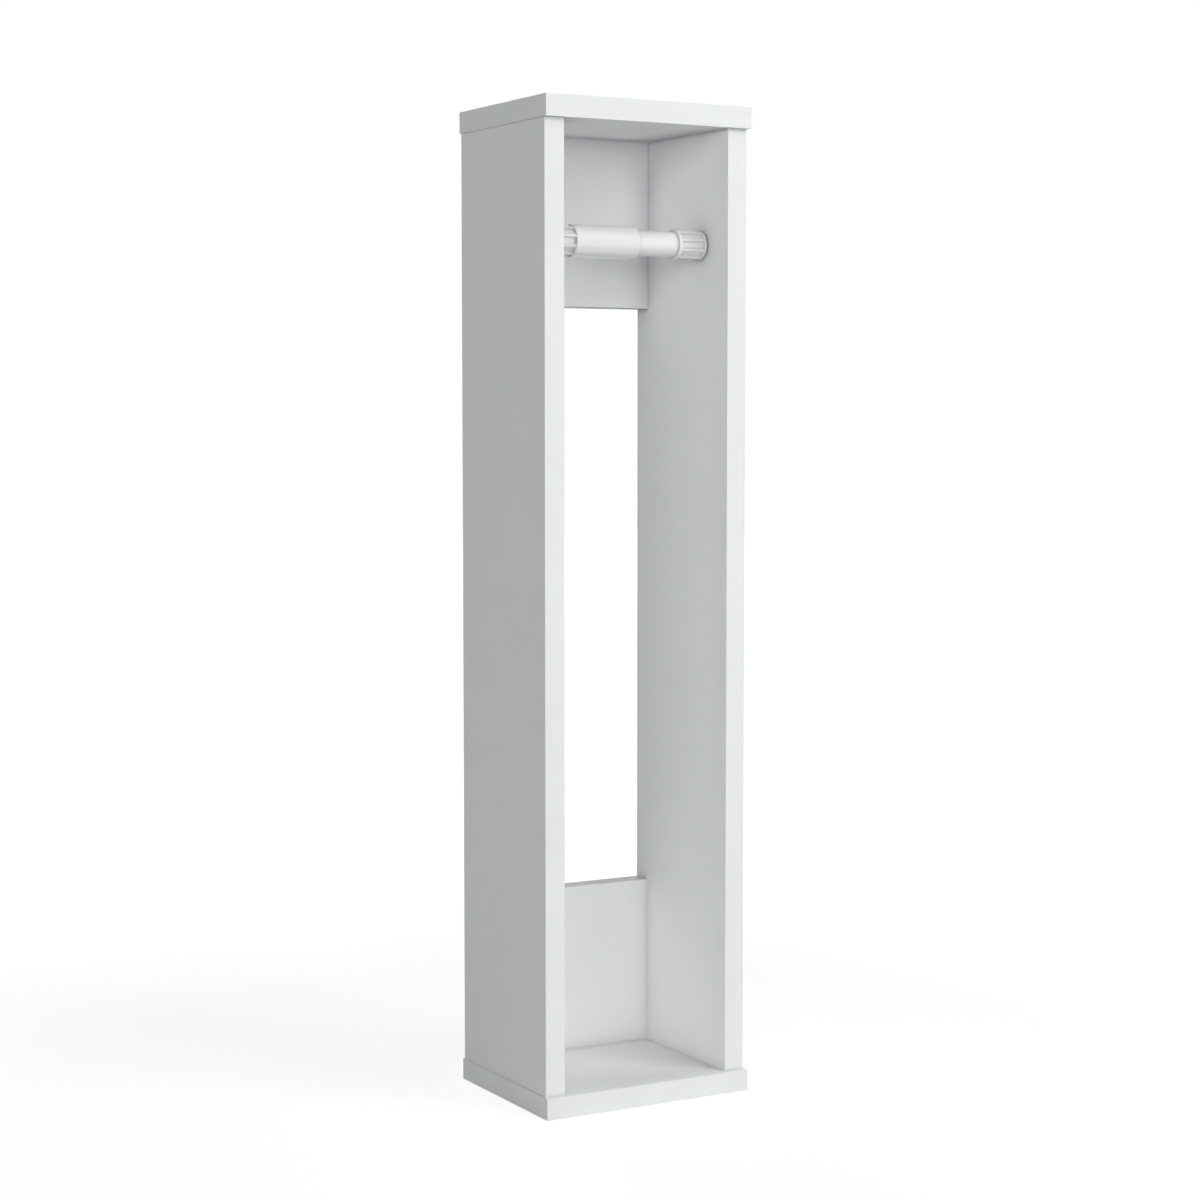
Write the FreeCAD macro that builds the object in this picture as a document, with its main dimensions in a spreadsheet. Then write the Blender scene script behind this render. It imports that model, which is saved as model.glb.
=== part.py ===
import FreeCAD
import Part
import Sketcher
import math
import os
import re

from FreeCAD import Placement, Rotation, Vector

# A narrow floor-standing bathroom column for toilet paper: a top and a base board, two tall sides and
# two back rails of edge-banded white board, with a spring-loaded roller between the sides.
# Frame: +X to the right seen from the front, the front at -Y, +Z up, origin under the middle of the base.

# Driving dimensions in millimetres, angles in degrees.
SIZES = {
    # Carcass
    "board_thickness": 15.0,
    "inner_width": 130.0,
    "side_height": 665.0,
    "side_depth": 124.0,
    "side_overhang": 1.25,
    "front_overhang": 4.5,
    "rail_height": 121.0,
    "band_thickness": 0.5,
    "band_edge_radius": 0.3,
    # Dowels
    "dowel_diameter": 8.0,
    "dowel_length": 30.0,
    "dowel_chamfer": 1.0,
    "dowel_cover": 5.0,
    "dowel_clearance": 0.1,
    "dowel_end_gap": 1.0,
    "top_dowel_margin": 24.0,
    "base_dowel_margin": 46.0,
    "rail_dowel_margin": 20.5,
    # Countersunk screws under the base
    "screw_diameter": 4.5,
    "screw_length": 50.0,
    "screw_tip_length": 6.0,
    "screw_head_diameter": 9.0,
    "screw_head_rim": 0.4,
    "screw_clearance": 0.15,
    "screw_end_gap": 2.0,
    "screw_seat_gap": 0.05,
    "screw_head_recess": 0.2,
    "side_screw_margin": 24.0,
    "rail_screw_margin": 33.0,
    # Cam locks in the rear faces of the rails
    "cam_diameter": 15.0,
    "cam_clearance": 0.1,
    "cam_setback": 24.0,
    "cam_bore_floor": 2.6,
    "cam_face_recess": 0.2,
    "cam_floor_gap": 0.2,
    "cam_hook_wall": 1.9,
    "cam_core_radius": 2.2,
    "cam_slot_angle": 200.0,
    "cam_slot_clearance": 0.3,
    "top_cam_margin": 33.0,
    # Bolts that the cams draw in
    "bolt_thread_diameter": 6.0,
    "bolt_cover": 4.5,
    "bolt_point_chamfer": 0.8,
    "bolt_shaft_diameter": 6.5,
    "bolt_bore_clearance": 0.35,
    "bolt_neck_diameter": 3.6,
    "bolt_neck_run": 0.8,
    "bolt_head_diameter": 6.0,
    "bolt_head_clearance": 0.1,
    "bolt_thread_clearance": 0.1,
    "bolt_end_gap": 0.5,
    # Cross recesses of cams and screws
    "cam_recess_length": 9.0,
    "cam_recess_width": 1.8,
    "cam_recess_depth": 2.4,
    "screw_recess_length": 4.6,
    "screw_recess_width": 1.1,
    "screw_recess_depth": 1.8,
    # Roller: a barrel and a plunger that slides into it
    "pivot_setback": 35.4,
    "pivot_drop": 79.0,
    "pivot_diameter": 8.0,
    "pivot_chamfer": 0.8,
    "pivot_clearance": 0.2,
    "pivot_cover": 7.0,
    "pivot_end_gap": 0.1,
    "roller_side_gap": 1.2,
    "roller_rest_angle": 3.4,
    "disc_diameter": 19.8,
    "disc_thickness": 1.8,
    "rib_count": 9,
    "rib_diameter": 21.4,
    "rib_width": 1.9,
    "rib_edge_radius": 0.3,
    "rib_zone_length": 20.7,
    "flange_diameter": 21.7,
    "flange_thickness": 2.0,
    "barrel_diameter": 22.8,
    "barrel_length": 51.0,
    "barrel_wall": 1.6,
    "barrel_mouth_radius": 1.5,
    "mouth_lip_length": 3.0,
    "bead_height": 0.75,
    "bead_length": 2.5,
    "bead_lead": 0.5,
    "slide_clearance": 0.15,
    "plunger_wall": 1.4,
    "plunger_run": 27.0,
    "seat_floor": 2.0,
    "seat_width": 2.5,
    "end_wall": 1.0,
    # Spring inside the roller
    "spring_wire": 1.2,
    "spring_clearance": 0.6,
    "spring_turns": 12,
    "spring_end_pitch": 1.8,
}

# Places and sizes that follow from the driving dimensions.
DERIVED = {
    "total_width": "inner_width + 2 * board_thickness + 2 * side_overhang",
    "total_depth": "side_depth + front_overhang",
    "total_height": "side_height + 2 * board_thickness",
    "side_middle": "front_overhang / 2",
    "side_axis": "inner_width / 2 + board_thickness / 2",
    "rail_front": "total_depth / 2 - board_thickness",
    "rail_axis": "total_depth / 2 - board_thickness / 2",
    "ceiling": "total_height - board_thickness",
    "dowel_sunk": "board_thickness - dowel_cover",
    "dowel_hole": "dowel_diameter + 2 * dowel_clearance",
    "face_hole_depth": "dowel_sunk + dowel_end_gap",
    "edge_hole_depth": "dowel_length - dowel_sunk + dowel_end_gap",
    "top_dowel_reach": "side_depth / 2 - top_dowel_margin",
    "base_dowel_reach": "side_depth / 2 - base_dowel_margin",
    "rail_dowel_reach": "rail_height / 2 - rail_dowel_margin",
    "side_screw_reach": "side_depth / 2 - side_screw_margin",
    "rail_screw_reach": "inner_width / 2 - rail_screw_margin",
    "screw_hole": "screw_diameter + 2 * screw_clearance",
    "screw_hole_depth": "screw_head_recess + screw_length - board_thickness + screw_end_gap",
    "screw_cone": "screw_head_diameter / 2 - screw_diameter / 2",
    "countersink": "screw_head_recess + screw_head_rim + screw_cone - screw_clearance + screw_seat_gap",
    "cam_bore": "cam_diameter + 2 * cam_clearance",
    "cam_bore_depth": "board_thickness - cam_bore_floor",
    "cam_height": "cam_bore_depth - cam_face_recess - cam_floor_gap",
    "cam_end_reach": "inner_width / 2 - cam_setback",
    "cam_top_reach": "inner_width / 2 - top_cam_margin",
    "cam_hook_radius": "cam_diameter / 2 - cam_hook_wall",
    "cam_axis_depth": "board_thickness / 2 - cam_face_recess",
    "cam_head_room": "bolt_head_diameter / 2 + cam_slot_clearance",
    "cam_neck_room": "bolt_neck_diameter / 2 + cam_slot_clearance",
    "bolt_sunk": "board_thickness - bolt_cover",
    "bolt_hole": "bolt_thread_diameter + 2 * bolt_thread_clearance",
    "bolt_hole_depth": "bolt_sunk + bolt_end_gap",
    "bolt_bore": "bolt_shaft_diameter + 2 * bolt_bore_clearance",
    "bolt_tip": "cam_setback - cam_core_radius - cam_slot_clearance",
    "bolt_head_reach": "sqrt((cam_hook_radius - bolt_head_clearance) ^ 2 - (bolt_head_diameter / 2) ^ 2)",
    "bolt_grip": "cam_setback - bolt_head_reach",
    "bolt_neck_start": "cam_setback - cam_diameter / 2 - bolt_neck_run",
    "pivot_depth": "board_thickness - pivot_cover",
    "pivot_hole": "pivot_diameter + 2 * pivot_clearance",
    "pivot_y": "pivot_setback + front_overhang - total_depth / 2",
    "pivot_z": "ceiling - pivot_drop",
    "pivot_reach": "pivot_depth - pivot_end_gap",
    "rib_start": "roller_side_gap + disc_thickness",
    "rib_end": "rib_start + rib_zone_length",
    "flange_start": "rib_end - flange_thickness",
    "barrel_mouth": "rib_end + barrel_length",
    "barrel_bore": "barrel_diameter - 2 * barrel_wall",
    "plunger_diameter": "barrel_bore - 2 * bead_height - 2 * slide_clearance",
    "plunger_bore": "plunger_diameter - 2 * plunger_wall",
    "lip_bore": "plunger_diameter + 2 * slide_clearance",
    "bead_diameter": "plunger_diameter + 2 * bead_height",
    "well_radius": "plunger_bore / 2 - seat_width",
    "well_end": "rib_start + end_wall",
    "seat": "rib_end + seat_floor",
    "plunger_end": "inner_width - seat - plunger_run",
    "rib_root": "plunger_diameter / 2 - plunger_wall / 2",
    "rib_crown": "rib_diameter / 2",
    "rib_shoulder": "rib_crown - rib_edge_radius",
    "rib_side": "rib_width / 2",
    "rib_flat": "rib_side - rib_edge_radius",
}

NAME = re.compile(r"[a-z][a-z_0-9]*\b(?!\()")
MATCH = 1e-4

doc = FreeCAD.newDocument("PaperColumn")
sheet = doc.addObject("Spreadsheet::Sheet", "Sizes")
for row, (alias, value) in enumerate(SIZES.items(), start=1):
    sheet.set(f"A{row}", alias)
    sheet.set(f"B{row}", str(value))
    sheet.setAlias(f"B{row}", alias)
results = doc.addObject("Spreadsheet::Sheet", "Results")
doc.recompute()


def formula(text):
    """A formula of size names as an expression on the sheet's cells."""
    def cell(match):
        word = match.group(0)
        return f"({formula(DERIVED[word])})" if word in DERIVED else f"Sizes.{word}"
    return NAME.sub(cell, text)


def size(text):
    """The value of a formula of size names, worked out by the sheet."""
    results.set("A1", f"={formula(text)}")
    results.recompute()
    return float(results.get("A1"))


def bind(item, formulas):
    """Ties properties of an object to formulas of size names."""
    for prop, text in formulas.items():
        item.setExpression(prop, formula(text))


def base_of(prefix, point):
    """Property names and formulas of a point, one for each axis."""
    return {f"{prefix}.Base.{axis}": text for axis, text in zip("xyz", point)}


def new_body(label, place=("0", "0", "0"), rotation=Rotation()):
    """An empty body with its place tied to the sheet."""
    body = doc.addObject("PartDesign::Body", label)
    body.Label = label
    body.AllowCompound = True
    body.Placement = Placement(Vector(), rotation)
    bind(body, base_of("Placement", place))
    return body


def origin(body, role):
    """One of the body's own origin planes or axes."""
    return next(item for item in body.Origin.OriginFeatures if item.Role == role)


def sketch_on(body, name, plane, level="0"):
    """An empty sketch on an origin plane, raised by level along the plane's normal."""
    sketch = body.newObject("Sketcher::SketchObject", name)
    sketch.AttachmentSupport = [(origin(body, plane), "")]
    sketch.MapMode = "FlatFace"
    bind(sketch, {"AttachmentOffset.Base.z": level})
    return sketch


def add_size(sketch, text, kind, *points):
    """A named dimension of the sketch whose value is a formula."""
    index = sketch.addConstraint(Sketcher.Constraint(kind, *points, size(text)))
    name = f"size_{index}"
    sketch.renameConstraint(index, name)
    sketch.setExpression(f"Constraints.{name}", formula(text))


def fix_point(sketch, geometry, position, u, v):
    """Dimensions a point of the sketch from the sketch's origin."""
    for kind, axis, text in (("DistanceX", -2, u), ("DistanceY", -1, v)):
        if text == "0":
            sketch.addConstraint(Sketcher.Constraint("PointOnObject", geometry, position, axis))
        else:
            add_size(sketch, text, kind, -1, 1, geometry, position)


def outline(sketch, points):
    """A closed outline of straight lines through dimensioned corners."""
    count = len(points)
    start = [Vector(math.cos(math.tau * k / count), math.sin(math.tau * k / count)) for k in range(count)]
    for k in range(count):
        sketch.addGeometry(Part.LineSegment(start[k], start[(k + 1) % count]))
    for k in range(count):
        sketch.addConstraint(Sketcher.Constraint("Coincident", k, 2, (k + 1) % count, 1))
    for k, (u, v) in enumerate(points):
        fix_point(sketch, k, 1, u, v)


def block(body, name, corner, extent):
    """A rectangular block of the body, from its low corner."""
    box = body.newObject("PartDesign::AdditiveBox", name)
    box.AttachmentSupport = [(origin(body, "XY_Plane"), "")]
    box.MapMode = "FlatFace"
    bind(box, base_of("AttachmentOffset", corner))
    bind(box, dict(zip(("Length", "Width", "Height"), extent)))
    return box


def revolve(body, name, plane, axis, points):
    """A turned solid from half of its outline."""
    sketch = sketch_on(body, f"{name}_outline", plane)
    outline(sketch, points)
    turned = body.newObject("PartDesign::Revolution", name)
    turned.Profile = sketch
    turned.ReferenceAxis = (origin(body, axis), [""])
    turned.Angle = 360
    return turned


def pocket(body, name, sketch, depth, along_normal):
    """Cuts a sketch into the body, along the sketch's normal or against it."""
    cut = body.newObject("PartDesign::Pocket", name)
    cut.Profile = sketch
    cut.Reversed = along_normal
    bind(cut, {"Length": depth})
    return cut


def drill(body, name, plane, level, along_normal, centres, diameter, depth):
    """Round holes of one size, drilled from one face."""
    sketch = sketch_on(body, f"{name}_layout", plane, level)
    for u, v in centres:
        circle = sketch.addGeometry(Part.Circle(Vector(1, 1), Vector(0, 0, 1), 1.0))
        fix_point(sketch, circle, 3, u, v)
        add_size(sketch, diameter, "Diameter", circle)
    return pocket(body, name, sketch, depth, along_normal)


def cross_recess(body, level, along_normal, kind):
    """A cross for the screwdriver, square to Z."""
    half = f"{kind}_recess_length / 2"
    arm = f"{kind}_recess_width / 2"
    quarter = [(half, arm), (arm, arm), (arm, half)]
    corners = quarter + [(f"-{u}", v) for u, v in reversed(quarter)]
    corners += [(f"-{u}", f"-{v}") for u, v in quarter] + [(u, f"-{v}") for u, v in reversed(quarter)]
    sketch = sketch_on(body, f"{kind}_recess_outline", "XY_Plane", level)
    outline(sketch, corners)
    pocket(body, f"{kind}_recess", sketch, f"{kind}_recess_depth", along_normal)


def round_edges(body, name, kind, base, prop, amount, wanted):
    """Rounds or bevels those edges of a feature that the test picks."""
    doc.recompute()
    names = [f"Edge{k}" for k, edge in enumerate(base.Shape.Edges, start=1) if wanted(edge)]
    dressed = body.newObject(kind, name)
    dressed.Base = (base, names)
    bind(dressed, {prop: amount})
    return dressed


def circle_at(radius, axis, place):
    """A test for a round edge of the given radius at a place along an axis."""
    def wanted(edge):
        curve = edge.Curve
        if not isinstance(curve, Part.Circle):
            return False
        return abs(curve.Radius - radius) < MATCH and abs(getattr(curve.Center, axis) - place) < MATCH
    return wanted


def mirrored(points):
    """Points and their mirror images across the first axis."""
    return [(f"{sign}({u})", v) for u, v in points for sign in ("", "-")]


# Boards: each is drilled for its own dowels, bolts, screws and pivots
def make_horizontal_board(label, level):
    core = ("total_width - 2 * band_thickness", "total_depth - 2 * band_thickness")
    body = new_body(label, ("0", "0", level))
    block(body, f"{label}_core", tuple(f"-({length}) / 2" for length in core) + ("0",),
          core + ("board_thickness",))
    return body


def make_top_panel():
    body = make_horizontal_board("top_panel", "ceiling")
    dowels = [("side_axis", f"side_middle + {sign}(top_dowel_reach)") for sign in ("", "-")]
    bolts = [("cam_top_reach", "rail_axis")]
    drill(body, "top_dowel_holes", "XY_Plane", "0", True, mirrored(dowels), "dowel_hole", "face_hole_depth")
    drill(body, "top_bolt_holes", "XY_Plane", "0", True, mirrored(bolts), "bolt_hole", "bolt_hole_depth")
    return body


def make_base_panel():
    body = make_horizontal_board("base_panel", "0")
    dowels = [("side_axis", f"side_middle + {sign}(base_dowel_reach)") for sign in ("", "-")]
    screws = [("side_axis", f"side_middle + {sign}(side_screw_reach)") for sign in ("", "-")]
    screws += [("rail_screw_reach", "rail_axis")]
    drill(body, "base_dowel_holes", "XY_Plane", "board_thickness", False, mirrored(dowels),
          "dowel_hole", "face_hole_depth")
    holes = drill(body, "base_screw_holes", "XY_Plane", "0", True, mirrored(screws),
                  "screw_hole", "board_thickness")
    round_edges(body, "base_countersinks", "PartDesign::Chamfer", holes, "Size", "countersink",
                circle_at(size("screw_hole / 2"), "z", 0))
    return body


def make_side_panel(label, hand):
    """A side board; hand is 1 for the right one and -1 for the left one."""
    sign = "" if hand > 0 else "-"
    outward = hand > 0
    axis = f"{sign}board_thickness / 2"
    edge = "side_depth / 2 - band_thickness"
    body = new_body(label, (f"{sign}inner_width / 2", "side_middle", "board_thickness"))
    block(body, f"{label}_core", ("0" if outward else "-board_thickness", f"-({edge})", "0"),
          ("board_thickness", f"2 * ({edge})", "side_height"))
    for name, level, up, reach, hole, depth in (
            ("top_dowel", "side_height", False, "top_dowel_reach", "dowel_hole", "edge_hole_depth"),
            ("base_dowel", "0", True, "base_dowel_reach", "dowel_hole", "edge_hole_depth"),
            ("base_screw", "0", True, "side_screw_reach", "screw_hole", "screw_hole_depth")):
        drill(body, f"{label}_{name}_holes", "XY_Plane", level, up,
              [(axis, reach), (axis, f"-({reach})")], hole, depth)
    rail_y = "rail_axis - side_middle"
    middles = ("rail_height / 2", "side_height - rail_height / 2")
    dowels = [(rail_y, f"{middle} + {way}(rail_dowel_reach)") for middle in middles for way in ("", "-")]
    bolts = [(rail_y, middle) for middle in middles]
    pivot = [("pivot_y - side_middle", "pivot_z - board_thickness")]
    for name, centres, hole, depth in (
            ("rail_dowel", dowels, "dowel_hole", "face_hole_depth"),
            ("rail_bolt", bolts, "bolt_hole", "bolt_hole_depth"),
            ("pivot", pivot, "pivot_hole", "pivot_depth")):
        drill(body, f"{label}_{name}_holes", "YZ_Plane", "0", outward, centres, hole, depth)
    return body


def make_rail(label, level, core_low):
    """A back rail; the front face is at y = 0 and core_low is where the core starts above the lower edge."""
    body = new_body(label, ("0", "rail_front", level))
    block(body, f"{label}_core", ("-inner_width / 2", "0", core_low),
          ("inner_width", "board_thickness", "rail_height - band_thickness"))
    middle = "board_thickness / 2"
    dowels = [(middle, f"rail_height / 2 + {way}(rail_dowel_reach)") for way in ("", "-")]
    for end, place, inward in (("left", "-inner_width / 2", True), ("right", "inner_width / 2", False)):
        drill(body, f"{label}_{end}_dowel_holes", "YZ_Plane", place, inward, dowels,
              "dowel_hole", "edge_hole_depth")
        drill(body, f"{label}_{end}_bolt_bore", "YZ_Plane", place, inward, [(middle, "rail_height / 2")],
              "bolt_bore", "cam_setback")
    drill(body, f"{label}_end_cam_bores", "XZ_Plane", "-board_thickness", True,
          mirrored([("cam_end_reach", "rail_height / 2")]), "cam_bore", "cam_bore_depth")
    return body


def make_upper_rail():
    body = make_rail("upper_back_rail", "ceiling - rail_height", "band_thickness")
    drill(body, "upper_rail_top_bolt_bores", "XY_Plane", "rail_height", False,
          mirrored([("cam_top_reach", "board_thickness / 2")]), "bolt_bore", "cam_setback")
    drill(body, "upper_rail_top_cam_bores", "XZ_Plane", "-board_thickness", True,
          mirrored([("cam_top_reach", "rail_height - cam_setback")]), "cam_bore", "cam_bore_depth")
    return body


def make_lower_rail():
    body = make_rail("lower_back_rail", "board_thickness", "0")
    drill(body, "lower_rail_screw_holes", "XY_Plane", "0", True,
          mirrored([("rail_screw_reach", "board_thickness / 2")]), "screw_hole", "screw_hole_depth")
    return body


# Edge banding: strips glued round the cut edges, with their outer corners eased
def band_strip(name, corner, extent, run, face, far):
    """A strip whose long edges on its outer face are rounded; run and face are axis names."""
    body = new_body(name, corner)
    strip = block(body, f"{name}_core", ("0", "0", "0"), extent)
    doc.recompute()
    box = strip.Shape.BoundBox
    outer = getattr(box, f"{face.upper()}{'Max' if far else 'Min'}")
    length = getattr(box, f"{run.upper()}Length")

    def wanted(edge):
        on_face = all(abs(getattr(vertex.Point, face) - outer) < MATCH for vertex in edge.Vertexes)
        return on_face and abs(getattr(edge.BoundBox, f"{run.upper()}Length") - length) < MATCH

    round_edges(body, f"{name}_easing", "PartDesign::Fillet", strip, "Radius", "band_edge_radius", wanted)
    return body


def gather(label, pieces):
    """One node of several separate solids."""
    joined = doc.addObject("Part::Compound", label)
    joined.Label = label
    joined.Links = pieces
    return joined


def make_board_bands(label, level):
    """Strips round the four edges of the top or the base."""
    wide = ("total_width", "band_thickness", "board_thickness")
    deep = ("band_thickness", "total_depth - 2 * band_thickness", "board_thickness")
    left, front = "-total_width / 2", "-total_depth / 2"
    right, rear = "total_width / 2 - band_thickness", "total_depth / 2 - band_thickness"
    behind = "band_thickness - total_depth / 2"
    return gather(label, [
        band_strip(f"{label}_front", (left, front, level), wide, "x", "y", False),
        band_strip(f"{label}_rear", (left, rear, level), wide, "x", "y", True),
        band_strip(f"{label}_left", (left, behind, level), deep, "y", "x", False),
        band_strip(f"{label}_right", (right, behind, level), deep, "y", "x", True)])


def make_side_bands(label, low_face):
    """Strips on the front and rear edges of a side; low_face is its low X face."""
    strip = ("board_thickness", "band_thickness", "side_height")
    front = (low_face, "side_middle - side_depth / 2", "board_thickness")
    rear = (low_face, "total_depth / 2 - band_thickness", "board_thickness")
    return gather(label, [band_strip(f"{label}_front", front, strip, "z", "y", False),
                          band_strip(f"{label}_rear", rear, strip, "z", "y", True)])


def make_rail_band(label, level, far):
    """The strip on a rail's free edge: its lower edge, or its upper one where far is set."""
    return band_strip(label, ("-inner_width / 2", "rail_front", level),
                      ("inner_width", "board_thickness", "band_thickness"), "x", "z", far)


# Fasteners: one of each kind is modelled, and its copies are grouped by where they are used
def make_dowel():
    body = new_body("dowel")
    rim = "dowel_diameter / 2 - dowel_chamfer"
    wall = "dowel_diameter / 2"
    revolve(body, "dowel_turning", "XZ_Plane", "Z_Axis", [
        ("0", "0"), (rim, "0"), (wall, "dowel_chamfer"), (wall, "dowel_length - dowel_chamfer"),
        (rim, "dowel_length"), ("0", "dowel_length")])
    return body


def make_screw():
    """A countersunk screw pointing up, its head's face at z = 0."""
    body = new_body("screw")
    rim = "screw_head_diameter / 2"
    shank = "screw_diameter / 2"
    revolve(body, "screw_turning", "XZ_Plane", "Z_Axis", [
        ("0", "0"), (rim, "0"), (rim, "screw_head_rim"), (shank, "screw_head_rim + screw_cone"),
        (shank, "screw_length - screw_tip_length"), ("0", "screw_length")])
    cross_recess(body, "0", True, "screw")
    return body


def make_cam():
    """A cam lock with its face at z = 0 towards +Z, its hook slot centred on +X."""
    body = new_body("cam")
    wall = "cam_diameter / 2"
    revolve(body, "cam_turning", "XZ_Plane", "Z_Axis", [
        ("0", "-cam_height"), (wall, "-cam_height"), (wall, "0"), ("0", "0")])
    slot = sketch_on(body, "cam_slot_outline", "XZ_Plane")
    past = "cam_diameter / 2 + cam_hook_wall"
    side = [("cam_core_radius", "cam_head_room"), ("cam_hook_radius", "cam_head_room"),
            ("cam_hook_radius", "cam_neck_room"), (past, "cam_neck_room")]
    outline(slot, [(u, f"-cam_axis_depth - {v}") for u, v in side]
            + [(u, f"-cam_axis_depth + {v}") for u, v in reversed(side)])
    hook = body.newObject("PartDesign::Groove", "cam_slot")
    hook.Profile = slot
    hook.ReferenceAxis = (origin(body, "Z_Axis"), [""])
    hook.Midplane = True
    bind(hook, {"Angle": "cam_slot_angle"})
    drill(body, "cam_bolt_entry", "XZ_Plane", "-cam_core_radius", False, [("0", "-cam_axis_depth")],
          "2 * (cam_head_room)", "cam_diameter / 2")
    cross_recess(body, "0", False, "cam")
    return body


def make_cam_bolt():
    """A cam bolt along X: its thread goes into the board at x > 0, its head into a cam at x < 0."""
    body = new_body("cam_bolt")
    head = "bolt_head_diameter / 2"
    neck = "bolt_neck_diameter / 2"
    shaft = "bolt_shaft_diameter / 2"
    thread = "bolt_thread_diameter / 2"
    revolve(body, "cam_bolt_turning", "XY_Plane", "X_Axis", [
        ("-bolt_tip", "0"), ("-bolt_tip", neck), ("-bolt_grip", head), ("-bolt_grip", neck),
        ("-bolt_neck_start", neck), ("-bolt_neck_start", shaft), ("0", shaft),
        ("0", thread), ("bolt_sunk - bolt_point_chamfer", thread),
        ("bolt_sunk", f"{thread} - bolt_point_chamfer"), ("bolt_sunk", "0")])
    return body


def group(label, copies):
    """One node of several identical fasteners: each copy is a body, a place and a rotation."""
    links = []
    for number, (body, place, rotation) in enumerate(copies, start=1):
        link = doc.addObject("App::Link", f"{label}_{number}")
        link.setLink(body)
        link.Placement = Placement(Vector(), rotation)
        bind(link, base_of("Placement", place))
        links.append(link)
    return gather(label, links)


def make_fasteners():
    """Every group of dowels, cams, bolts and screws."""
    dowel, screw, cam, bolt = make_dowel(), make_screw(), make_cam(), make_cam_bolt()
    upright = Rotation()
    x_axis = Vector(1, 0, 0)
    y_axis = Vector(0, 1, 0)
    along_right = Rotation(y_axis, 90)
    along_left = Rotation(y_axis, -90)
    face_rear = Rotation(x_axis, -90)
    turns = {"right": Rotation(), "left": Rotation(y_axis, 180), "up": Rotation(y_axis, -90)}
    side_dowels = {"top": "ceiling + dowel_sunk - dowel_length", "base": "board_thickness - dowel_sunk"}
    rails = {"upper": "ceiling - rail_height", "lower": "board_thickness"}
    groups = []
    for board, level in side_dowels.items():
        places = mirrored([("side_axis", f"side_middle + {way}({board}_dowel_reach)") for way in ("", "-")])
        groups.append(group(f"{board}_dowels", [(dowel, (x, y, level), upright) for x, y in places]))
    for rail, level in rails.items():
        middle = f"{level} + rail_height / 2"
        start = "inner_width / 2 + dowel_sunk - dowel_length"
        dowels, cams, bolts = [], [], []
        for way in ("", "-"):
            height = f"{middle} + {way}(rail_dowel_reach)"
            dowels.append((dowel, (start, "rail_axis", height), along_right))
            dowels.append((dowel, (f"-({start})", "rail_axis", height), along_left))
        for side, sign in (("right", ""), ("left", "-")):
            turn = turns[side]
            cams.append((cam, (f"{sign}(cam_end_reach)", "total_depth / 2 - cam_face_recess", middle),
                         turn.multiply(face_rear)))
            bolts.append((bolt, (f"{sign}inner_width / 2", "rail_axis", middle), turn))
        if rail == "upper":
            for sign in ("", "-"):
                x = f"{sign}(cam_top_reach)"
                cams.append((cam, (x, "total_depth / 2 - cam_face_recess", "ceiling - cam_setback"),
                             turns["up"].multiply(face_rear)))
                bolts.append((bolt, (x, "rail_axis", "ceiling"), turns["up"]))
        groups.append(group(f"{rail}_rail_dowels", dowels))
        groups.append(group(f"{rail}_rail_cams", cams))
        groups.append(group(f"{rail}_rail_cam_bolts", bolts))
    places = mirrored([("side_axis", f"side_middle + {way}(side_screw_reach)") for way in ("", "-")])
    places += mirrored([("rail_screw_reach", "rail_axis")])
    groups.append(group("base_screws", [(screw, (x, y, "screw_head_recess"), upright) for x, y in places]))
    return groups


# Roller: both halves are turned round X from their own side board's inner face, at x = 0, inwards
def ribbed_end(after_ribs):
    """Outline of a roller half from its pivot's tip to the ribbed grip, then the points that follow."""
    pin = "pivot_diameter / 2"
    disc = "disc_diameter / 2"
    core = "plunger_diameter / 2"
    return [("-pivot_reach", "0"), ("-pivot_reach", f"{pin} - pivot_chamfer"),
            ("pivot_chamfer - pivot_reach", pin), ("roller_side_gap", pin), ("roller_side_gap", disc),
            ("rib_start", disc), ("rib_start", core)] + after_ribs + [
            ("seat", "well_radius"), ("well_end", "well_radius"), ("well_end", "0")]


def rib_outline(sketch):
    """Section of a rib across the roller's axis: straight sides, a flat top and two rounded edges."""
    points = [("rib_root", "-(rib_side)"), ("rib_shoulder", "-(rib_side)"), ("rib_crown", "-(rib_flat)"),
              ("rib_crown", "rib_flat"), ("rib_shoulder", "rib_side"), ("rib_root", "rib_side")]
    arcs = {1: ("-(rib_flat)", -90), 3: ("rib_flat", 0)}
    places = [Vector(size(u), size(v)) for u, v in points]
    for k, place in enumerate(places):
        if k in arcs:
            level, angle = arcs[k]
            centre = Vector(size("rib_shoulder"), size(level))
            circle = Part.Circle(centre, Vector(0, 0, 1), size("rib_edge_radius"))
            sketch.addGeometry(Part.ArcOfCircle(circle, math.radians(angle), math.radians(angle + 90)))
        else:
            sketch.addGeometry(Part.LineSegment(place, places[(k + 1) % len(places)]))
    for k in range(len(points)):
        sketch.addConstraint(Sketcher.Constraint("Coincident", k, 2, (k + 1) % len(points), 1))
    for k, (u, v) in enumerate(points):
        fix_point(sketch, k, 1, u, v)
    for k in arcs:
        add_size(sketch, "rib_shoulder", "DistanceX", -1, 1, k, 3)


def add_ribs(body, label, stop):
    """Ribs along the grip, evenly spaced about X, from the end disc to stop."""
    sketch = sketch_on(body, f"{label}_rib_outline", "YZ_Plane", "rib_start")
    rib_outline(sketch)
    rib = body.newObject("PartDesign::Pad", f"{label}_rib")
    rib.Profile = sketch
    bind(rib, {"Length": f"{stop} - rib_start"})
    ribs = body.newObject("PartDesign::PolarPattern", f"{label}_ribs")
    ribs.Originals = [rib]
    ribs.Axis = (origin(body, "X_Axis"), [""])
    ribs.Angle = 360
    bind(ribs, {"Occurrences": "rib_count"})
    body.Tip = ribs
    return ribs


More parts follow.
